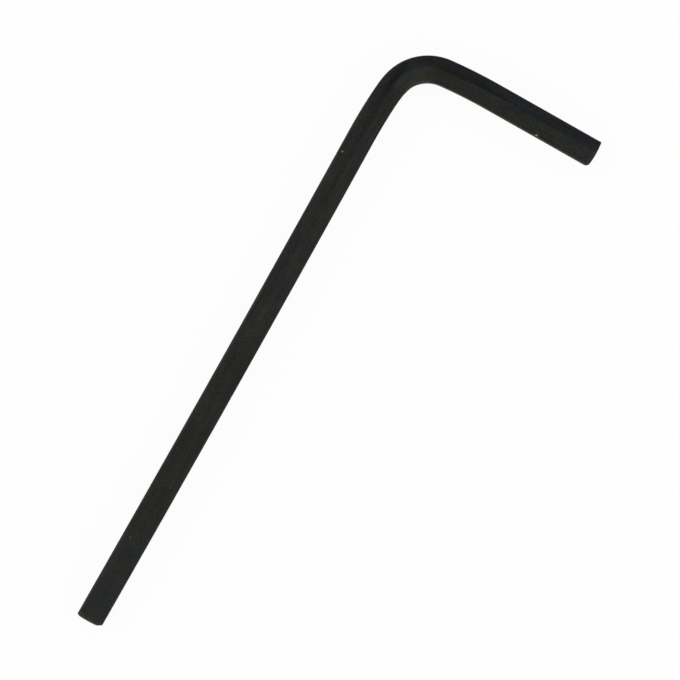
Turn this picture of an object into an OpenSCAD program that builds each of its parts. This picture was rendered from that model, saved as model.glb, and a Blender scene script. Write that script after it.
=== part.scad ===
// Hex key: one length of drawn hexagon bar, cropped and chamfered at both ends and
// bent once into an L. It lies flat on the lowest corner ridge of the bar, so that
// flats of the bar form the inside and the outside of the bend.

/* [Bar] */
// Width of the bar across two opposite flats
across_flats = 2; // [1.5:0.1:3]
// Radius that drawing leaves on the six corners of the bar
corner_r = 0.24; // [0.1:0.01:0.5]

/* [Arms] */
// Long arm, from its end to the outer face of the short arm
long_arm = 49.2; // [30:0.1:90]
// Short arm, from its end to the outer face of the long arm
short_arm = 16.6; // [15:0.1:30]

/* [Bend] */
// Radius of the inner face in the middle of the bend
inner_r = 2.3; // [1.5:0.1:4]
// Radius of the bar's middle line where the bend eases into each arm
ease_r = 40; // [20:1:50]
// Angle that each eased stretch takes out of the quarter turn
ease_angle = 5.5; // [2:0.5:8]

/* [Ends] */
// Length of the turned chamfer, measured on a flat
chamfer = 0.1; // [0.05:0.01:0.3]
// Slope of the chamfer, measured from the axis of the arm
chamfer_slope = 45; // [30:1:60]

/* [Hidden] */
$fn = 96;

// Straight steps round each corner of the bar
corner_steps = 4;

// Distances from the axis of the bar to a flat, to a corner's centre and to its top
flat_out = across_flats / 2;
corner_centre = (flat_out - corner_r) / cos(30);
corner_out = corner_centre + corner_r;

// The bend turns half way on each side of its middle, round a centre at [0, 0]
half_turn = 45;
bend_r = inner_r + flat_out;

// Where the eased stretches meet the arms, seen from the centre of the bend
ease_offset = ease_r - bend_r;
ease_reach = ease_offset * sin(ease_angle);
arm_line = ease_r - ease_offset * cos(ease_angle);
outer_face = arm_line + flat_out;

// Straight length that the bend leaves of each arm
long_straight = long_arm - outer_face - ease_reach;
short_straight = short_arm - outer_face - ease_reach;

// The turned ends: the flat that the chamfer leaves, and a cone that clears the bar
face_out = flat_out - chamfer * tan(chamfer_slope);
cone_out = 2 * corner_out;
cone_length = (cone_out - face_out) / tan(chamfer_slope);

// The middle of the key's own length and width stands over the origin
rest_x = outer_face - short_arm / 2;
rest_y = long_arm / 2 - outer_face;

// The bar cut square: flats to the left and right, a rounded corner at the top
module bar_section() {
    polygon([
        for (corner = [0:5])
            for (step = [0:corner_steps])
                let (
                    middle = 90 + 60 * corner,
                    turned = middle - 30 + 60 * step / corner_steps
                )
                corner_centre * [cos(middle), sin(middle)]
                    + corner_r * [cos(turned), sin(turned)]
    ]);
}

// Bar bent round the origin, from +X towards +Y
module bent_bar(radius, angle) {
    rotate_extrude(angle = angle)
        translate([radius, 0])
            bar_section();
}

// Straight bar from the origin along -Y, with its far end turned to a chamfer
module straight_bar(length) {
    rotate([90, 0, 0])
        intersection() {
            linear_extrude(length)
                bar_section();
            rotate_extrude()
                polygon([
                    [0, -cone_length],
                    [cone_out, -cone_length],
                    [cone_out, length - cone_length],
                    [face_out, length],
                    [0, length]
                ]);
        }
}

// Moves in two steps, a rounded one and the small rest, so that no decimals are
// lost and the stretches of the bar meet face to face
module place(at) {
    rounded = [for (value = at) round(value * 1000) / 1000];
    translate(rounded)
        translate(at - rounded)
            children();
}

// An arm along -Y, its eased stretch and its half of the bend
module half_key(straight_length) {
    place([-arm_line, -ease_reach, 0]) {
        straight_bar(straight_length);
        translate([ease_r, 0, 0])
            mirror([1, 0, 0])
                bent_bar(ease_r, ease_angle);
    }
    rotate([0, 0, 180 - half_turn])
        bent_bar(bend_r, half_turn - ease_angle);
}

// Both halves meet in the middle of the bend, and the long arm lies along Y
module hex_key() {
    color("#2b2d2c")
        translate([rest_x, rest_y, corner_out]) {
            half_key(long_straight);
            mirror([1, 1, 0])
                half_key(short_straight);
        }
}

hex_key();
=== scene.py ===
# %% [markdown]
# A black hex key
# This lesson dresses one small hex key for a studio picture. The real thing is a
# single length of steel bar: drawn through a hexagon die, cropped, chamfered on a
# lathe, bent once and dipped in a hot bath that turns its skin black. So there is one
# piece to make here, and all the care goes into its form and into that black skin.

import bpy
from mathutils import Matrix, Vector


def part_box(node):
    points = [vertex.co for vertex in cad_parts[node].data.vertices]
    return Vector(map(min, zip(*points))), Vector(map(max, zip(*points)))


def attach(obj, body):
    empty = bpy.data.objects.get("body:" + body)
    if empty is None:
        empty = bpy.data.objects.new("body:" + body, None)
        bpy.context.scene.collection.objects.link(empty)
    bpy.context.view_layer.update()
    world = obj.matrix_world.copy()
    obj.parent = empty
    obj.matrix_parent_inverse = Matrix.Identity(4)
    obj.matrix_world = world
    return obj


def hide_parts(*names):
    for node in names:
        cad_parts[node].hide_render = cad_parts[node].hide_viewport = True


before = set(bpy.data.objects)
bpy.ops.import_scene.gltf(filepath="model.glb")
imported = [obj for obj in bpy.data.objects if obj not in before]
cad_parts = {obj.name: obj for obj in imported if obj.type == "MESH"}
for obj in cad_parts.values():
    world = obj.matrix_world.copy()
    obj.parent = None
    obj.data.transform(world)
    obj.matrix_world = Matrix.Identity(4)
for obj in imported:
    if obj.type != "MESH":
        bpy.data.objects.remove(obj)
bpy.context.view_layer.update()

# %% [markdown]
# Sizes
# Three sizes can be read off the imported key, because it lies in its own box: each arm
# is as long as a side of the box, and the bar is as tall as it is across its corners.
# Its width across the flats is the size that such a key is sold by. A rounded corner
# ends short of the sharp one, so the measure across the corners gives its radius.

# %% Sizes of the bar
from math import cos, pi, radians, sin, sqrt, tan

import bpy
import numpy as np
from mathutils import Matrix, Vector, noise

MM = 0.001
ACROSS_FLATS = 2 * MM
CORNERS = 6
QUARTER_TURN = pi / 2

half_side = pi / CORNERS
key_low, key_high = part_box("hex_key")
long_arm = key_high.y - key_low.y
short_arm = key_high.x - key_low.x
flat_out = ACROSS_FLATS / 2
corner_out = (key_high.z - key_low.z) / 2
sharp_corner_out = flat_out / cos(half_side)
corner_radius = (sharp_corner_out - corner_out) / (1 / cos(half_side) - 1)
corner_centre = corner_out - corner_radius
print("corner radius", round(corner_radius / MM, 3), "mm")

# %% [markdown]
# The middle line
# The bar follows one line through its middle: a straight arm, a bend that is tight in
# its middle and eases into both arms, and a short straight arm. A curve object could
# carry the section round it. Plain sums do the same here, because the marks and the
# finish need to know how far along the bar each point is, and sums give that exactly.
# Along an arc the heading turns evenly, so a list of distances with the heading at
# each describes straights and arcs alike.

# %% Measure the stretches of the bar
BEND_INNER_RADIUS = 2.3 * MM
EASE_RADIUS = 40 * MM
EASE_ANGLE = radians(5.5)

bend_radius = BEND_INNER_RADIUS + flat_out
ease_offset = EASE_RADIUS - bend_radius
ease_reach = ease_offset * sin(EASE_ANGLE)
outer_face = EASE_RADIUS - ease_offset * cos(EASE_ANGLE) + flat_out
long_straight = long_arm - outer_face - ease_reach
short_straight = short_arm - outer_face - ease_reach
lengths = [
    long_straight,
    EASE_RADIUS * EASE_ANGLE,
    bend_radius * (QUARTER_TURN - 2 * EASE_ANGLE),
    EASE_RADIUS * EASE_ANGLE,
    short_straight,
]
headings = [QUARTER_TURN, QUARTER_TURN, QUARTER_TURN - EASE_ANGLE, EASE_ANGLE, 0, 0]
knots = np.concatenate([[0], np.cumsum(lengths)])
bend_begins = knots[1]
bend_ends = knots[4]
bar_length = knots[-1]
print("the bar is", round(bar_length / MM, 2), "mm long before it is bent")

# %% [markdown]
# Adding up small steps, each in the heading's direction, gives the line. It starts from
# nothing and then moves as a whole, so that it ends in the middle of the short arm's
# end. The long arm also keeps a trace of the coil that it was straightened from: its
# middle lies a hair towards the inside of the key.

# %% Follow the middle line
BOW = 0.072 * MM
FINE_STEPS = 40000

fine = np.linspace(0, bar_length, FINE_STEPS + 1)
fine_heading = np.interp((fine[1:] + fine[:-1]) / 2, knots, headings)
steps = np.stack([np.cos(fine_heading), np.sin(fine_heading)], 1) * fine[1]
line = np.concatenate([[[0, 0]], np.cumsum(steps, 0)])
line += np.array([key_high.x, key_high.y - flat_out]) - line[-1]
share = np.clip(fine / long_straight, 0, 1)
parabola = 4 * share * (1 - share)
line[:, 0] += BOW * parabola
print("the long end's middle is at", np.round(line[0] / MM, 3), "mm")

# %% [markdown]
# The section
# Seen on its end the bar is a hexagon with a corner at the top and rounded corners
# all round. A six-sided circle with a bevel would have that outline too, but it would
# have no points along its flats, which need marks of their own. So the points are laid
# one by one, some on each corner's arc and some along each flat. Each also notes how
# far it is from the nearest ridge, because that is where hands and sockets rub.

# %% Draw the section
CORNER_STEPS = 6
FLAT_STEPS = 12

flat_length = 2 * corner_centre * sin(half_side)
half_arc = half_side * corner_radius


def direction(angle):
    """A step of length 1 in the section, at an angle from its level axis."""
    return np.array([cos(angle), sin(angle)])


section = []
from_ridge = []
for corner in range(CORNERS):
    corner_angle = QUARTER_TURN + 2 * half_side * corner
    flat_angle = corner_angle + half_side
    centre = corner_centre * direction(corner_angle)
    flat_start = centre + corner_radius * direction(flat_angle)
    for step in range(CORNER_STEPS):
        turn = 2 * half_side * (step / CORNER_STEPS - 0.5)
        section.append(centre + corner_radius * direction(corner_angle + turn))
        from_ridge.append(abs(turn) * corner_radius)
    for step in range(FLAT_STEPS):
        passed = flat_length * step / FLAT_STEPS
        section.append(flat_start + passed * direction(flat_angle + QUARTER_TURN))
        from_ridge.append(half_arc + min(passed, flat_length - passed))
section = np.array(section)
from_ridge = np.array(from_ridge)
ring_size = len(section)
print(ring_size, "points round the bar")

# %% [markdown]
# Rings along the bar
# The mesh is a row of rings, one section after another. Even spacing would waste most
# of them on the straight arms. They lie closest together at the ends, where the
# chamfers are, then in the bend, and further apart on the arms, which keeps the whole
# skin well under 200,000 triangles.

# %% Place the rings
END_RINGS = 26
END_REACH = 0.5 * MM
END_CROWDING = 1.4
STRAIGHT_STEP = 0.11 * MM
BEND_STEP = 0.06 * MM


def rings_between(first, last, spacing):
    """Even distances from first up to last, without last itself."""
    return np.linspace(first, last, round((last - first) / spacing), endpoint=False)


end_rings = END_REACH * np.linspace(0, 1, END_RINGS, endpoint=False) ** END_CROWDING
along = np.concatenate(
    [
        end_rings,
        rings_between(END_REACH, bend_begins, STRAIGHT_STEP),
        rings_between(bend_begins, bend_ends, BEND_STEP),
        rings_between(bend_ends, bar_length - END_REACH, STRAIGHT_STEP),
        bar_length - end_rings[::-1],
    ]
)
print(len(along), "rings,", 2 * len(along) * ring_size, "triangles round the bar")

# %% [markdown]
# The turned ends
# A lathe tool takes the corners off each end, and what it leaves is a cone. A Boolean
# could cut that cone, but it would tear up the rings. Instead, wherever a ring would
# reach past the cone, it is drawn in to it. The flats are nearer the middle than the
# corners, so the cone bites less there and its edge comes out in scallops. The two ends
# of a cheap key are seldom alike. Here the long end was cut deep by a blunt cone, the
# short end hardly at all, and neither cone sits quite on the bar's axis, so that each
# takes more off the inner side of the key. Slopes are measured from the axis.

# %% Measure each end against its cone
LONG_END_CHAMFER = 0.22 * MM
SHORT_END_CHAMFER = 0.04 * MM
LONG_END_OFF_AXIS = 0.09 * MM
SHORT_END_OFF_AXIS = 0.1 * MM
LONG_END_SLOPE = radians(58)
SHORT_END_SLOPE = radians(45)

on_long_half = along < bar_length / 2
from_end = np.minimum(along, bar_length - along)[:, None]
chamfer = np.where(on_long_half, LONG_END_CHAMFER, SHORT_END_CHAMFER)[:, None]
slope = np.where(on_long_half, tan(LONG_END_SLOPE), tan(SHORT_END_SLOPE))[:, None]
off_axis = np.where(on_long_half, LONG_END_OFF_AXIS, SHORT_END_OFF_AXIS)
cone_axis = np.stack([off_axis, 0 * off_axis], 1)[:, None]
from_cone_axis = section[None] - cone_axis
radius = np.linalg.norm(from_cone_axis, axis=2)
cone = flat_out - chamfer + from_end * slope
drawn_in = np.maximum(radius - cone, 0)
cone_reach = float((from_end * (drawn_in > 0)).max())
print("the cones reach", round(cone_reach / MM, 3), "mm along the corners")

# %% [markdown]
# Taking the smaller of two sizes would leave an edge as sharp as a knife, so a soft
# minimum rounds it by a hair. Far from the edge it gives the smaller size, and near the
# edge a little less than that.

# %% Draw the rings in to the cones
EDGE_ROUNDING = 0.012 * MM

kept = (cone + radius - np.sqrt((cone - radius) ** 2 + EDGE_ROUNDING**2)) / 2
rings = cone_axis + from_cone_axis * (kept / radius)[..., None]
print("a corner is drawn in by", round(float(drawn_in.max() / MM), 3), "mm at most")

# %% [markdown]
# Small marks in the steel
# Drawn and bent bar is never quite true. The die leaves lines along it, and
# straightening and tumbling leave shallow dents. All of it is only some thousandths of
# a millimetre deep. A bump in the material could fake it, but it is what breaks up the
# light on a real bar, so it goes into the mesh, and only ever cuts inwards. The noise
# is read at each point's place on the bar as it was before bending: along it, out from
# its middle and up.

# %% Work out how deep each point is marked
DENT_DEPTH = 0.008 * MM
DENT_SIZE = 1.3
DRAW_LINE_DEPTH = 0.003 * MM
DRAW_LINE_SIZE = [9.0, 0.12, 0.12]

along_each_point = np.repeat(along, ring_size)[:, None]
section_each_point = np.tile(section, (len(along), 1))
on_bar = np.concatenate([along_each_point, section_each_point], 1) / MM


def smooth_noise(places):
    """Noise between 0 and 1 at each place."""
    return np.array([0.5 + 0.5 * noise.noise(Vector(place)) for place in places])


dents = smooth_noise(on_bar / DENT_SIZE) ** 2
draw_lines = smooth_noise(on_bar / DRAW_LINE_SIZE)
depth = DENT_DEPTH * dents + DRAW_LINE_DEPTH * draw_lines
rings = rings * (1 - depth.reshape(len(along), ring_size, 1) / corner_out)
print("marks are up to", round(float(depth.max()) / MM, 4), "mm deep")

# %% [markdown]
# From rings to a skin
# Every ring stands across the middle line: its first number points out of the bend
# and its second straight up. Where the bending tool took hold of the bar, at the start
# of the tight bend, the bar steps in by a hair and its inner side bulges. One smooth
# hump along the bar drives both. Sculpting could do it too, but never so finely, and it
# would be lost with every change to the rings.

# %% Stand the rings on the middle line
GRIP_AT = 45.6 * MM
GRIP_REACH = 0.75 * MM
GRIP_STEP = 0.015 * MM
GRIP_BULGE = 0.03

place = np.stack([np.interp(along, fine, line[:, axis]) for axis in (0, 1)], 1)
heading = np.interp(along, knots, headings)
outward = np.stack([-np.sin(heading), np.cos(heading)], 1)
gripped = np.exp(-(((along - GRIP_AT) / GRIP_REACH) ** 2))[:, None]
place -= outward * GRIP_STEP * gripped
rings[..., 0] *= 1 + GRIP_BULGE * gripped * (section[:, 0] < 0)
flat_part = place[:, None] + outward[:, None] * rings[..., :1]
skin = np.concatenate([flat_part, corner_out + rings[..., 1:]], 2)
print("the skin spans", np.round((skin.max((0, 1)) - skin.min((0, 1))) / MM, 3), "mm")

# %% [markdown]
# The end faces
# A single flat face would close each end, but a cropped end isn't quite flat. So it is
# closed by smaller rings that shrink to one point and rise to a slight crown.

# %% Close the ends
FACE_RINGS = 12
LONG_FACE_CROWN = 0.035 * MM
SHORT_FACE_CROWN = 0.075 * MM


def end_face(rim, crown):
    """Rings from a rim towards its middle, and the middle point, crowned by a vector."""
    middle = rim.mean(0)
    shares = np.linspace(1, 0, FACE_RINGS + 1)[1:, None, None]
    crowned = middle + (rim - middle) * shares + crown * (1 - shares**2)
    return crowned[:-1], crowned[-1, :1]


long_face, long_middle = end_face(skin[0], np.array([0, -LONG_FACE_CROWN, 0]))
short_face, short_middle = end_face(skin[-1], np.array([SHORT_FACE_CROWN, 0, 0]))
all_rings = np.concatenate([long_face[::-1], skin, short_face])
points = np.concatenate([all_rings.reshape(-1, 3), long_middle, short_middle])
print(len(points), "points in the skin")

# %% [markdown]
# One closed mesh
# The mesh is built from plain lists of points and faces. Between two rings each face
# joins two neighbours on one ring to the same two on the next, and at the ends each
# face is a thin triangle with its tip at the middle point. Every face lists its points
# in the order that turns it outwards.

# %% List the faces
near = np.arange(ring_size)
after = (near + 1) % ring_size
this_ring = ring_size * np.arange(len(all_rings) - 1)[:, None]
next_ring = this_ring + ring_size
last_ring = ring_size * (len(all_rings) - 1)
long_tip = np.full(ring_size, len(points) - 2)
short_tip = np.full(ring_size, len(points) - 1)
quads = np.stack([this_ring + near, this_ring + after, next_ring + after, next_ring + near], 2)
long_fan = np.stack([after, near, long_tip], 1)
short_fan = np.stack([last_ring + near, last_ring + after, short_tip], 1)
faces = quads.reshape(-1, 4).tolist() + long_fan.tolist() + short_fan.tolist()
print(len(quads.reshape(-1, 4)), "faces along the bar and", 2 * ring_size, "at its ends")

# %% Make the mesh
mesh = bpy.data.meshes.new("hex_key_bar")
mesh.from_pydata(points.tolist(), [], faces)
mesh.shade_smooth()
bar = bpy.data.objects.new("hex_key_bar", mesh)
bpy.context.scene.collection.objects.link(bar)
print("the bar has", len(mesh.vertices), "points and", len(mesh.polygons), "faces")

# %% [markdown]
# Places for the finish
# The black skin has lines along the bar and wear on its ridges, so its material needs
# to know where it is on the bar and not in space. Unwrapping could tell it, but would
# leave seams. Attributes carry it on each point instead: the place on the bar before
# bending, the distance to the nearest ridge or rim, both in millimetres, and whether a
# lathe or a cropping blade cut the steel there. An end face lies at one distance along
# the bar, and its only ridge is its rim.

# %% Measure the end faces
face_shares = np.linspace(1, 0, FACE_RINGS + 1)[1:-1, None]
face_size = len(face_shares) * ring_size


def face_places(ring, order):
    """Places on the face that closes a ring, from its rim inwards or the other way round."""
    flat = (rings[ring] / MM * face_shares[..., None])[::order].reshape(-1, 2)
    return np.column_stack([np.full(face_size, along[ring] / MM), flat])


def face_ridge(ring, order):
    """Distances from the rim on the face that closes a ring."""
    return ((1 - face_shares) * kept[ring] / MM)[::order].ravel()


print(face_size, "points on each end face, and its middle")

# %% [markdown]
# The parts of each attribute follow the order of the points: the long end's face from
# its middle outwards, the sides, the short end's face from its rim inwards, and last
# the two middle points.

# %% Note each point's place on the bar
FRESH_CUT_DEPTH = 0.01 * MM


def store(name, kind, field, parts):
    """Keeps one value for each point under a name that materials can read."""
    made = mesh.attributes.new(name, kind, "POINT")
    made.data.foreach_set(field, np.concatenate(parts).astype(np.float32).ravel())
    print(name, "is kept on", len(made.data), "points")


middle_places = [[0, 0, 0], [bar_length / MM, 0, 0]]
place_parts = [face_places(0, -1), on_bar, face_places(-1, 1), middle_places]
store("on_bar", "FLOAT_VECTOR", "vector", place_parts)

from_cone_edge = np.abs(from_end - (radius - flat_out + chamfer) / slope)
side_ridge = np.minimum(from_ridge[None], from_cone_edge).ravel() / MM
middle_ridge = [flat_out / MM, flat_out / MM]
ridge_parts = [face_ridge(0, -1), side_ridge, face_ridge(-1, 1), middle_ridge]
store("from_ridge", "FLOAT", "value", ridge_parts)

side_cut = np.clip(drawn_in / FRESH_CUT_DEPTH, 0, 1).ravel()
face_cut = np.ones(face_size)
middle_cut = [1, 1]
store("cut", "FLOAT", "value", [face_cut, side_cut, face_cut, middle_cut])

# %% [markdown]
# Sums in the shader
# A finish is mostly arithmetic on masks. Its nodes could be placed and wired one by
# one, but then nobody could read them. This small class holds one output of a
# material's nodes and lets Python's own signs add the Math nodes, so that a recipe
# reads as a formula. Two of its methods turn a measure into a mask: fade makes one soft
# edge, and within makes a stretch with a soft edge at both ends.


# %% Write shader sums as Python
class Wire:
    """One value in a node tree: arithmetic on it adds Math nodes."""

    def __init__(self, tree, socket=None):
        self.tree = tree
        self.socket = socket

    def node(self, kind, settings, sockets, output=0):
        """Adds any node: its settings first, then the values or links of its sockets."""
        made = self.tree.nodes.new(kind)
        for name, value in settings.items():
            setattr(made, name, value)
        for name, value in sockets.items():
            if isinstance(value, Wire):
                self.tree.links.new(value.socket, made.inputs[name])
            else:
                made.inputs[name].default_value = value
        return Wire(self.tree, made.outputs[output] if made.outputs else None)

    def math(self, operation, first, second=0.0):
        """Adds one Math node."""
        return self.node("ShaderNodeMath", {"operation": operation}, {0: first, 1: second})

    def fade(self, none, full):
        """0 where the value is none, 1 where it is full, and smooth in between."""
        sockets = {"Value": self, "From Min": none, "From Max": full}
        return self.node("ShaderNodeMapRange", {"interpolation_type": "SMOOTHSTEP"}, sockets)

    def within(self, begins, full_from, full_to, ends):
        """1 in the middle of a stretch, and 0 before it begins and after it ends."""
        return self.fade(begins, full_from) * self.fade(ends, full_to)

    def __add__(self, other):
        return self.math("ADD", self, other)

    def __sub__(self, other):
        return self.math("SUBTRACT", self, other)

    def __rsub__(self, other):
        return self.math("SUBTRACT", other, self)

    def __mul__(self, other):
        return self.math("MULTIPLY", self, other)

    def __abs__(self):
        return self.math("ABSOLUTE", self)

    __radd__ = __add__
    __rmul__ = __mul__


print("shader sums can use + - * and abs")


# %% [markdown]
# Colours and places are three numbers at once, and a Math node would turn them into
# one. They go through Mix and Vector Math nodes instead, which two helpers add.


# %% Helpers for whole trees, places and colours
def blank_tree(owner):
    """Empties the node tree of a material or world and returns a Wire to start from."""
    owner.use_nodes = True
    owner.node_tree.nodes.clear()
    print(owner.name, "has an empty node tree")
    return Wire(owner.node_tree)


def vector_math(operation, first, second=(0, 0, 0), output="Vector"):
    """Adds one Vector Math node."""
    sockets = {0: first, 1: second}
    return first.node("ShaderNodeVectorMath", {"operation": operation}, sockets, output)


def mix_colour(factor, first, second):
    """The first colour where factor is 0, and the second where it is 1."""
    sockets = {"Factor": factor, "A": first, "B": second}
    return factor.node("ShaderNodeMix", {"data_type": "RGBA"}, sockets, "Result")


# %% [markdown]
# The black skin
# Black oxide is a thin skin that follows the grain of the steel below it. It looks
# even from afar, but close up it is finely speckled, has faint lines along the bar, and
# drifts between olive and a bluish grey. One flat colour would look like plastic. So
# the material reads the bar's attributes and builds one mask after another from them.

# %% Read the bar's attributes
oxide = bpy.data.materials.new("black_oxide")
oxide_tree = blank_tree(oxide)
places, ridge_distance, fresh_cut = [
    oxide_tree.node("ShaderNodeAttribute", {"attribute_name": name}, {}, output)
    for name, output in (("on_bar", "Vector"), ("from_ridge", "Fac"), ("cut", "Fac"))
]
along_bar, across_bar, up_bar = [
    oxide_tree.node("ShaderNodeSeparateXYZ", {}, {"Vector": places}, axis)
    for axis in ("X", "Y", "Z")
]
print("the bar's places took", len(oxide.node_tree.nodes), "nodes")

# %% [markdown]
# Noise on the bar
# Most of the skin is noise, read at places on the bar. Squeezing the places along the
# bar first draws the noise out into streaks and lines. The table gives each noise its
# scale for one millimetre, its detail, and how much its places are squeezed along,
# across and up.

# %% Make the noises
NOISES = {
    "grain": (7.5, 2.0, (1, 1, 1)),
    "streaks": (3.5, 2.0, (0.08, 1, 1)),
    "clouds": (0.5, 2.0, (1, 1, 1)),
    "draw lines": (16.0, 2.0, (0.025, 1, 1)),
    "bluish": (1.5, 1.0, (1, 1, 1)),
    "brownish": (1.9, 1.0, (1, 1, 1)),
    "rubbing": (5.0, 3.0, (0.12, 1, 1)),
}


def noise_on(scale, detail, squeeze):
    """Noise centred on 0 at places on the bar."""
    noise_places_and_bend_light = vector_math("MULTIPLY", places, squeeze)
    sockets = {"Vector": noise_places_and_bend_light, "Scale": scale, "Detail": detail}
    return oxide_tree.node("ShaderNodeTexNoise", {}, sockets) - 0.5


def noise_by(measure, scale):
    """Noise centred on 0 that changes with one measure only."""
    sockets = {"W": measure, "Scale": scale}
    return oxide_tree.node("ShaderNodeTexNoise", {"noise_dimensions": "1D"}, sockets) - 0.5


noises = {name: noise_on(*numbers) for name, numbers in NOISES.items()}
masks = {name: noises[name] for name in ("grain", "streaks", "clouds")}
print("noises:", ", ".join(noises))

# %% [markdown]
# Tool marks
# The drawn sides have lines along the bar, but the turned and cropped ends have rings
# round its axis. A noise that changes only with the distance from the axis makes them.
# Fresh cuts also take the black bath a little lighter than drawn steel does.

# %% Mark the drawn sides and the cut ends
ROUND_THE_AXIS = (0, 1, 1)
TURNING_SCALE = 14.0

from_axis = vector_math("LENGTH", vector_math("MULTIPLY", places, ROUND_THE_AXIS), output="Value")
turning = noise_by(from_axis, TURNING_SCALE)
masks["tool marks"] = noises["draw lines"] * (1 - fresh_cut) + turning * fresh_cut
masks["fresh cut"] = fresh_cut
print("masks:", ", ".join(masks))

# %% [markdown]
# Where the bar differs along its length
# The photographed key isn't the same all along. Its arms are lighter in some stretches,
# a painted shade runs beside its top ridge, and the bend carries painted shade on its
# outer side and painted light on its inner side. Painting that by hand would tie it to
# one mesh. Instead each is a mask: a stretch along the bar times a band across it. All
# numbers are millimetres, along the bar from its long end, and across it outwards from
# the top ridge. A stretch begins, is full from, is full to, and ends.

# %% Stretches along the bar
STRETCHES = {
    "lighter ridge 1": (11, 13, 14.5, 16.5),
    "darker ridge": (16, 17.5, 18.5, 20),
    "lighter ridge 2": (23.5, 25, 26.5, 28.5),
    "lighter inner side of the long arm": (23, 31, 39, 43),
    "before the bend": (31, 39, 45, 47),
    # The next four stretches hold painted shade on the outer side of the bend and painted light
    # on its inner side.
    "painted bend shade": (42, 45, 46, 48),
    "crescent_shade": (43.6, 45.4, 46, 47.2),
    "noise_places_and_bend_light": (44.6, 46.2, 47.3, 49.3),
    "bend light past the ridge": (46, 47.2, 47.6, 48.4),
    "rusty ridge": (47.8, 49, 50, 51.5),
    "shade on the short arm": (48.5, 49.5, 53.8, 55),
}
stretch = {name: along_bar.within(*limits) for name, limits in STRETCHES.items()}
print("stretches:", ", ".join(stretch))

# %% [markdown]
# Other stretches have one soft edge only and then go on to an end of the bar. Their two
# numbers say where the mask is nothing and where it is full.

# %% Stretches with one soft edge
ONE_EDGE = {
    "cool end": (5, 1.5),
    "lighter outer side near the long end": (17, 6),
    "less wear and highlight": (28, 31),
    "shadow line drifts": (42, 45),
    "crescent_shade drifts": (44.5, 46.8),
    "from the bend on": (45, 46),
    "long arm and bend": (49, 47.5),
    "reddish short arm": (48, 51),
    "short tip": (54, 58),
}
stretch |= {name: along_bar.fade(*limits) for name, limits in ONE_EDGE.items()}
print("with one edge:", ", ".join(ONE_EDGE))

# %% [markdown]
# Bands run the whole length of the bar. They say which side of it, or which ridge, a
# point is on, again with where the mask is nothing and where it is full.

# %% Bands round the bar
OUTER_SIDE = (-0.1, 0.3)
UPPER_SIDE = (0, 0.3)
RIDGES = (0.25, 0.05)
TOP = (0.9, 1.0)

outer_side = across_bar.fade(*OUTER_SIDE)
upper_side = up_bar.fade(*UPPER_SIDE)
ridges = ridge_distance.fade(*RIDGES)
top_ridge = ridges * up_bar.fade(*TOP)
print("the black oxide has", len(oxide.node_tree.nodes), "nodes so far")

# %% [markdown]
# Lines near the top ridge
# Four soft lines run along the bar near its top ridge: a painted shadow line before the
# bend and a painted crescent of shade in it, which both drift outwards, a painted shade
# beside the ridge of the short arm, and a breath of rust on that ridge. The table gives
# where each line's middle is across the bar, how far it drifts, and how far from its
# middle it has faded and is full.

# %% Draw the soft lines
LINES = {
    "shadow line": (0.05, 0.2, (0.3, 0.05)),
    "crescent_shade": (0.12, 0.35, (0.42, 0.05)),
    "beside the ridge": (0.14, 0, (0.28, 0.05)),
    "rusty ridge": (0, 0, (0.6, 0.1)),
}


def soft_line(name, drifting=0):
    """A line along the bar, moved across it by its drift where drifting is 1."""
    middle, drift, width = LINES[name]
    return abs(across_bar - (middle + drifting * drift)).fade(*width)


shadow_line = soft_line("shadow line", stretch["shadow line drifts"])
crescent_shade = soft_line("crescent_shade", stretch["crescent_shade drifts"])
beside_ridge = soft_line("beside the ridge")
masks |= {
    # The shadow line, the crescent and the shade beside the ridge are painted shade.
    "shadow line": shadow_line * stretch["before the bend"] * upper_side,
    "crescent_shade": crescent_shade * stretch["crescent_shade"] * upper_side,
    "beside the ridge": beside_ridge * stretch["shade on the short arm"] * upper_side,
    "rusty ridge": soft_line("rusty ridge") * stretch["rusty ridge"],
}
print("lines:", ", ".join(LINES))

# %% [markdown]
# Worn ridges, lighter sides, and painted light and shade in the bend
# Ridges are worn in long uneven stretches, which a noise along the bar alone gives.
# Inside the bend the painted light reaches up to the top ridge, and half way round it
# reaches a little past it.

# %% Shade the ridges, the sides and the bend
RIDGE_NOISE_SCALE = 0.25
RIDGE_NOISE_LIFT = 0.05
DARKER_RIDGE = 0.4
# Where the painted light inside the bend lies, and how far past the ridge it drifts.
BEND_LIGHT_SIDE = (0.3, -0.05)
BEND_LIGHT_DRIFT = 0.15

ridge_noise = noise_by(along_bar, RIDGE_NOISE_SCALE) + RIDGE_NOISE_LIFT
lighter_ridge = stretch["lighter ridge 1"] + stretch["lighter ridge 2"]
bend_light_from = across_bar - stretch["bend light past the ridge"] * BEND_LIGHT_DRIFT
masks |= {
    "worn ridges": ridges * ridge_noise,
    "light streaks": top_ridge * (lighter_ridge - stretch["darker ridge"] * DARKER_RIDGE),
    # Painted shade on the outer side of the bend, and painted light on its inner side.
    "painted bend shade": outer_side * stretch["painted bend shade"],
    "noise_places_and_bend_light": bend_light_from.fade(*BEND_LIGHT_SIDE) * stretch["noise_places_and_bend_light"],
    # These make one side of the long arm lighter over a stretch.
    "lighter outer side near the long end": outer_side * stretch["lighter outer side near the long end"],
    "lighter inner side of the long arm": (1 - outer_side) * stretch["lighter inner side of the long arm"],
    "short tip": stretch["short tip"],
    "cool end": stretch["cool end"],
}
print(len(masks), "masks")

# %% [markdown]
# From masks to one tone
# The tone runs from 0, the darkest oxide, to 1, the lightest. It starts in the middle,
# and every mask lifts it or lowers it by its own amount. One table of amounts is easier
# to balance against the photograph than a chain of mixed colours.

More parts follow.
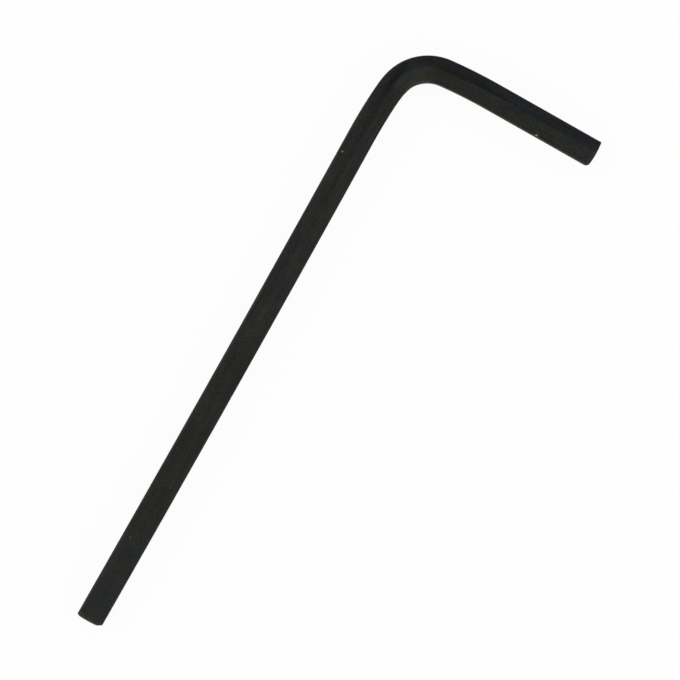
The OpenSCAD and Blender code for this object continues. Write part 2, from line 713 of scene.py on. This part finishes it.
# %% Add up the tone
MIDDLE_TONE = 0.5
TONE = {
    "grain": 1.6,
    "streaks": 0.42,
    "clouds": 0.38,
    "tool marks": 0.5,
    "worn ridges": 0.4,
    "fresh cut": 0.25,
    "light streaks": 0.14,
    "lighter outer side near the long end": 0.09,
    "lighter inner side of the long arm": 0.12,
    "short tip": 0.08,
    "cool end": 0.06,
    # Painted light inside the bend, and painted shade outside it and beside the top ridge.
    "noise_places_and_bend_light": 0.24,
    "painted bend shade": -0.1,
    "shadow line": -0.2,
    "crescent_shade": -0.12,
    "beside the ridge": -0.2,
}


def add_up(amounts, total=0.0):
    """The sum of masks, each times its amount."""
    for name, amount in amounts.items():
        total = masks[name] * amount + total
    return total


tone = add_up(TONE, MIDDLE_TONE)
print("the tone adds up", len(TONE), "masks")

# %% [markdown]
# Wear and painted highlight on the side corners
# Sockets and fingers rub the black thin on the corners at the key's sides, in broken
# patches that run along the bar, and a painted highlight lies on the same corners.
# There the steel shows through as a lighter, warmer grey. The outer corner is lightest
# along the first half of the long arm, and the inner one in the bend, where the extra
# lightness is painted highlight.

# %% Wear the corners and paint their highlight
CORNER_WIDTH = (0.2, 0.08)
CORNER_GRAIN = 0.15
PATCHES = (-0.25, 0.2)
PATCH_BASE = 0.45
OUTER_CORNER = (0.5, 0.8)
INNER_CORNER = (-0.5, -0.8)
OUTER_WEAR_AND_HIGHLIGHT = 0.38
OUTER_WEAR_AND_HIGHLIGHT_LOSS = 0.15
INNER_WEAR_AND_HIGHLIGHT = 0.15
BEND_HIGHLIGHT = 0.4

patches = noises["rubbing"].fade(*PATCHES) + PATCH_BASE
corners = (ridge_distance + masks["grain"] * CORNER_GRAIN).fade(*CORNER_WIDTH) * patches
outer_wear_and_highlight = OUTER_WEAR_AND_HIGHLIGHT - stretch["less wear and highlight"] * OUTER_WEAR_AND_HIGHLIGHT_LOSS
inner_wear_and_highlight = INNER_WEAR_AND_HIGHLIGHT + stretch["from the bend on"] * BEND_HIGHLIGHT
# Wear and painted highlight on the outer and the inner corner.
outer_corner = corners * across_bar.fade(*OUTER_CORNER) * outer_wear_and_highlight
inner_corner = corners * across_bar.fade(*INNER_CORNER) * inner_wear_and_highlight
masks["corner wear and highlight"] = outer_corner + inner_corner * stretch["long arm and bend"]
print("the black oxide has", len(oxide.node_tree.nodes), "nodes so far")

# %% [markdown]
# Nicks
# A few small knocks have gone through the black to bare steel, most of them so little
# that they only glint. Each is a ball in the bar's own space, set on its upper side,
# and colours whatever skin it touches. A flat mask seen from above would run down the
# whole side of the bar instead. The table gives each nick's place along and across the
# bar, its size and its strength.

# %% Nick the skin
NICKS = [
    (6.75, 0.42, 0.16, 0.08),
    (25.40, -0.04, 0.12, 0.04),
    (26.11, 0.02, 0.12, 0.04),
    (27.51, -0.20, 0.12, 0.03),
    (39.14, 0.70, 0.11, 0.45),
    (46.81, -0.72, 0.16, 0.04),
    (48.16, -0.93, 0.16, 0.06),
    (53.90, -0.80, 0.10, 0.06),
    (57.62, -0.97, 0.13, 1.0),
]
NICK_CORE = 0.3

masks["nicks"] = 0.0
for along_at, across_at, size, strength in NICKS:
    up_at = sharp_corner_out / MM - abs(across_at) * tan(half_side)
    distance = vector_math("DISTANCE", places, (along_at, across_at, up_at), "Value")
    masks["nicks"] = distance.fade(size, size * NICK_CORE) * strength + masks["nicks"]
print(len(NICKS), "nicks")

# %% [markdown]
# Tints
# Clouds of a bluish and of a brownish grey drift over the olive, and the first few
# millimetres of the long arm are cooler too. A reddish tint lies on the inner flat of
# the short arm, and less of it on its tip.

# %% Tint the skin
BLUISH = (-0.1, 0.2)
BROWNISH = (0.0, 0.25)
COOL_END_BLUE = 0.625
INNER_FLAT = (-0.9, -0.99)
TIP_LESS_REDDISH = 0.6

less_on_tip = 1 - stretch["short tip"] * TIP_LESS_REDDISH
masks |= {
    "bluish": noises["bluish"].fade(*BLUISH) + stretch["cool end"] * COOL_END_BLUE,
    "brownish": noises["brownish"].fade(*BROWNISH),
    # A reddish tint on the short arm's inner flat, less of it on its tip.
    "reddish inner flat": across_bar.fade(*INNER_FLAT) * stretch["reddish short arm"] * less_on_tip,
}
print(len(masks), "masks")

# %% [markdown]
# From tone to colour
# The tone picks a colour between a dark and a light olive oxide. Thin layers of other
# colours then go over it, each with its mask and its amount, and last comes the bare
# steel of the nicks. The colours are linear, as a shader needs them, so their numbers
# are smaller than those of the same colours on a screen.

# %% Lay one colour over another
OXIDE_DARK = (0.0105, 0.0116, 0.0099, 1)
OXIDE_LIGHT = (0.0377, 0.0412, 0.0357, 1)
LAYERS = {
    "bluish": (0.32, (0.0195, 0.0240, 0.0280, 1)),
    "brownish": (0.25, (0.0285, 0.0250, 0.0200, 1)),
    "rusty ridge": (0.35, (0.0220, 0.0130, 0.0090, 1)),
    # Painted shade: a dark crescent in the bend.
    "crescent_shade": (0.45, (0.0085, 0.0099, 0.0104, 1)),
    # Wear and painted highlight on the side corners.
    "corner wear and highlight": (1.0, (0.0640, 0.0625, 0.0525, 1)),
    # A reddish tint on the short arm's inner flat.
    "reddish inner flat": (0.5, (0.0360, 0.0165, 0.0125, 1)),
    "nicks": (1.0, (0.3, 0.3, 0.29, 1)),
}

colour = mix_colour(tone, OXIDE_DARK, OXIDE_LIGHT)
for name, (amount, layer) in LAYERS.items():
    colour = mix_colour(masks[name] * amount, colour, layer)
print("over the oxide lie:", ", ".join(LAYERS))

# %% [markdown]
# Gloss and relief
# The skin is metal, but a matt one, because the oxide is rough: it shines in a broad,
# dim way, a little more where a nick bares the steel. A very shallow bump lets the
# grain and the tool marks catch the light in close views. It is too fine for the mesh,
# and it leaves the outline as the mesh has it.

# %% Finish the black oxide
METALLIC = 1.0
EDGE_TINT = (0.6, 0.57, 0.54, 1)
ROUGHNESS = 0.55
ROUGHNESS_CHANGES = {"grain": 0.3, "nicks": -0.15}
RELIEF = {"grain": 0.6, "streaks": 0.3, "tool marks": 0.6}
RELIEF_DEPTH = 0.003 * MM
RELIEF_STRENGTH = 0.3

relief = {"Strength": RELIEF_STRENGTH, "Distance": RELIEF_DEPTH, "Height": add_up(RELIEF)}
sockets = {
    "Base Color": colour,
    "Metallic": METALLIC,
    "Roughness": add_up(ROUGHNESS_CHANGES, ROUGHNESS),
    "Specular Tint": EDGE_TINT,
    "Normal": oxide_tree.node("ShaderNodeBump", {}, relief),
}
shader = oxide_tree.node("ShaderNodeBsdfPrincipled", {}, sockets)
oxide_tree.node("ShaderNodeOutputMaterial", {}, {"Surface": shader})
print("the black oxide has", len(oxide.node_tree.nodes), "nodes")

# %% [markdown]
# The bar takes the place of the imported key, which stays hidden in it for the physics,
# and moves with the only body that there is.

# %% Finish the bar
mesh.materials.append(oxide)
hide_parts("hex_key")
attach(bar, "root")
print("the bar is finished in", mesh.materials[0].name)

# %% [markdown]
# The camera
# The picture was taken from nearly straight above with a long lens, from so far away
# that both arms look equally thick. The camera leans a few degrees towards the long
# arm's end and is rolled so that the bend is at the top. It could be turned by three
# angles in a row, but their order is easily mixed up. So its three axes are worked out
# as arrows instead.

# %% Work out the camera's axes
LEAN_TO_LONG_SIDE = radians(1.6)
LEAN_TO_LONG_END = radians(5.9)
ROLL = radians(-29.3)

along_key = Vector((0, 1, 0))
back = Vector((-sin(LEAN_TO_LONG_SIDE), -sin(LEAN_TO_LONG_END), 0))
back.z = sqrt(1 - back.length_squared)
level = along_key.cross(back).normalized()
upright = back.cross(level)
right = level * cos(ROLL) - upright * sin(ROLL)
up = level * sin(ROLL) + upright * cos(ROLL)
print("the camera looks along", [round(-part, 3) for part in back])

# %% [markdown]
# The camera is then placed so that the middle of the key falls on its own spot in the
# square picture. Moving the camera does that without any shift of the lens.

# %% Place the camera
PICTURE_SIDE = 680
KEY_MIDDLE_AT = (339.8, 377.9)
PIXELS_PER_MM = 13.65
CAMERA_DISTANCE = 1.0
SENSOR_WIDTH = 36
NEAREST = 0.1
FURTHEST = 10

pixel = MM / PIXELS_PER_MM
across_picture = (PICTURE_SIDE / 2 - KEY_MIDDLE_AT[0]) * pixel
up_picture = (KEY_MIDDLE_AT[1] - PICTURE_SIDE / 2) * pixel
key_middle = Vector((0, 0, corner_out))
camera_place = key_middle + back * CAMERA_DISTANCE + right * across_picture + up * up_picture
camera_axes = Matrix((right, up, back)).transposed().to_4x4()

camera = bpy.data.objects.new("camera", bpy.data.cameras.new("camera"))
camera.data.sensor_width = SENSOR_WIDTH
camera.data.lens = SENSOR_WIDTH * CAMERA_DISTANCE / (PICTURE_SIDE * pixel)
camera.data.clip_start = NEAREST
camera.data.clip_end = FURTHEST
camera.matrix_world = Matrix.Translation(camera_place) @ camera_axes
bpy.context.scene.collection.objects.link(camera)
bpy.context.scene.camera = camera
print("lens", round(camera.data.lens), "mm")

# %% [markdown]
# The floor
# The key lies on a white sheet. More light would make the sheet white, but would bleach
# the key too. So to the camera most of the sheet's white is its own glow, and the rest
# is plain matt paper, which takes the key's soft shadow. Light that bounces off it as
# matt light sees only the paper.

# %% Lay the floor
FLOOR_SIDE = 3.0
PAPER = (0.9, 0.9, 0.9, 1)
WHITE_GLOW = 1.0
SHARE_OF_GLOW = 0.94

bpy.ops.mesh.primitive_plane_add(size=FLOOR_SIDE)
floor = bpy.context.object
floor.name = "floor"

sheet = bpy.data.materials.new("white_sheet")
sheet_tree = blank_tree(sheet)
camera_ray, glossy_ray, transmission_ray = [
    sheet_tree.node("ShaderNodeLightPath", {}, {}, name)
    for name in ("Is Camera Ray", "Is Glossy Ray", "Is Transmission Ray")
]
seen = (camera_ray + glossy_ray + transmission_ray) * SHARE_OF_GLOW
paper = sheet_tree.node("ShaderNodeBsdfDiffuse", {}, {"Color": PAPER})
glow = sheet_tree.node("ShaderNodeEmission", {}, {"Strength": WHITE_GLOW})
shader = sheet_tree.node("ShaderNodeMixShader", {}, {0: seen, 1: paper, 2: glow})
sheet_tree.node("ShaderNodeOutputMaterial", {}, {"Surface": shader})
floor.data.materials.append(sheet)
print("the floor is", FLOOR_SIDE, "m wide")

# %% [markdown]
# The light
# Small black things are shot in a light tent, which lights them from all sides at once
# and leaves no hard highlight. Lamps behind cloth would do that too, but here the world
# itself is the tent. It is lit through both its sides, while its far end, beyond the
# bend, stays dim and bluish, and those differences alone tell the facets of the bar
# apart.

# %% Set up the light tent
TOP_LIGHT = (0.98, 0.955, 0.965, 1)
SIDE_LIGHT = (1.26, 1.23, 1.12, 1)
FAR_LIGHT = (0.50, 0.51, 0.82, 1)
TOWARDS_FAR_END = (-0.05, 1.1)
TENT_STRENGTH = 1.0

tent = bpy.data.worlds.new("light_tent")
tent_tree = blank_tree(tent)
facing = tent_tree.node("ShaderNodeTexCoord", {}, {}, "Generated")
sideways, far = [
    tent_tree.node("ShaderNodeSeparateXYZ", {}, {"Vector": facing}, axis) for axis in ("X", "Y")
]
light = mix_colour(sideways * sideways, TOP_LIGHT, SIDE_LIGHT)
light = mix_colour(far.fade(*TOWARDS_FAR_END), light, FAR_LIGHT)
sockets = {"Color": light, "Strength": TENT_STRENGTH}
background = tent_tree.node("ShaderNodeBackground", {}, sockets)
tent_tree.node("ShaderNodeOutputWorld", {}, {"Surface": background})
bpy.context.scene.world = tent
bpy.context.scene.view_settings.view_transform = "Standard"
print("the tent's sides give", SIDE_LIGHT[:3], "and its far end", FAR_LIGHT[:3])
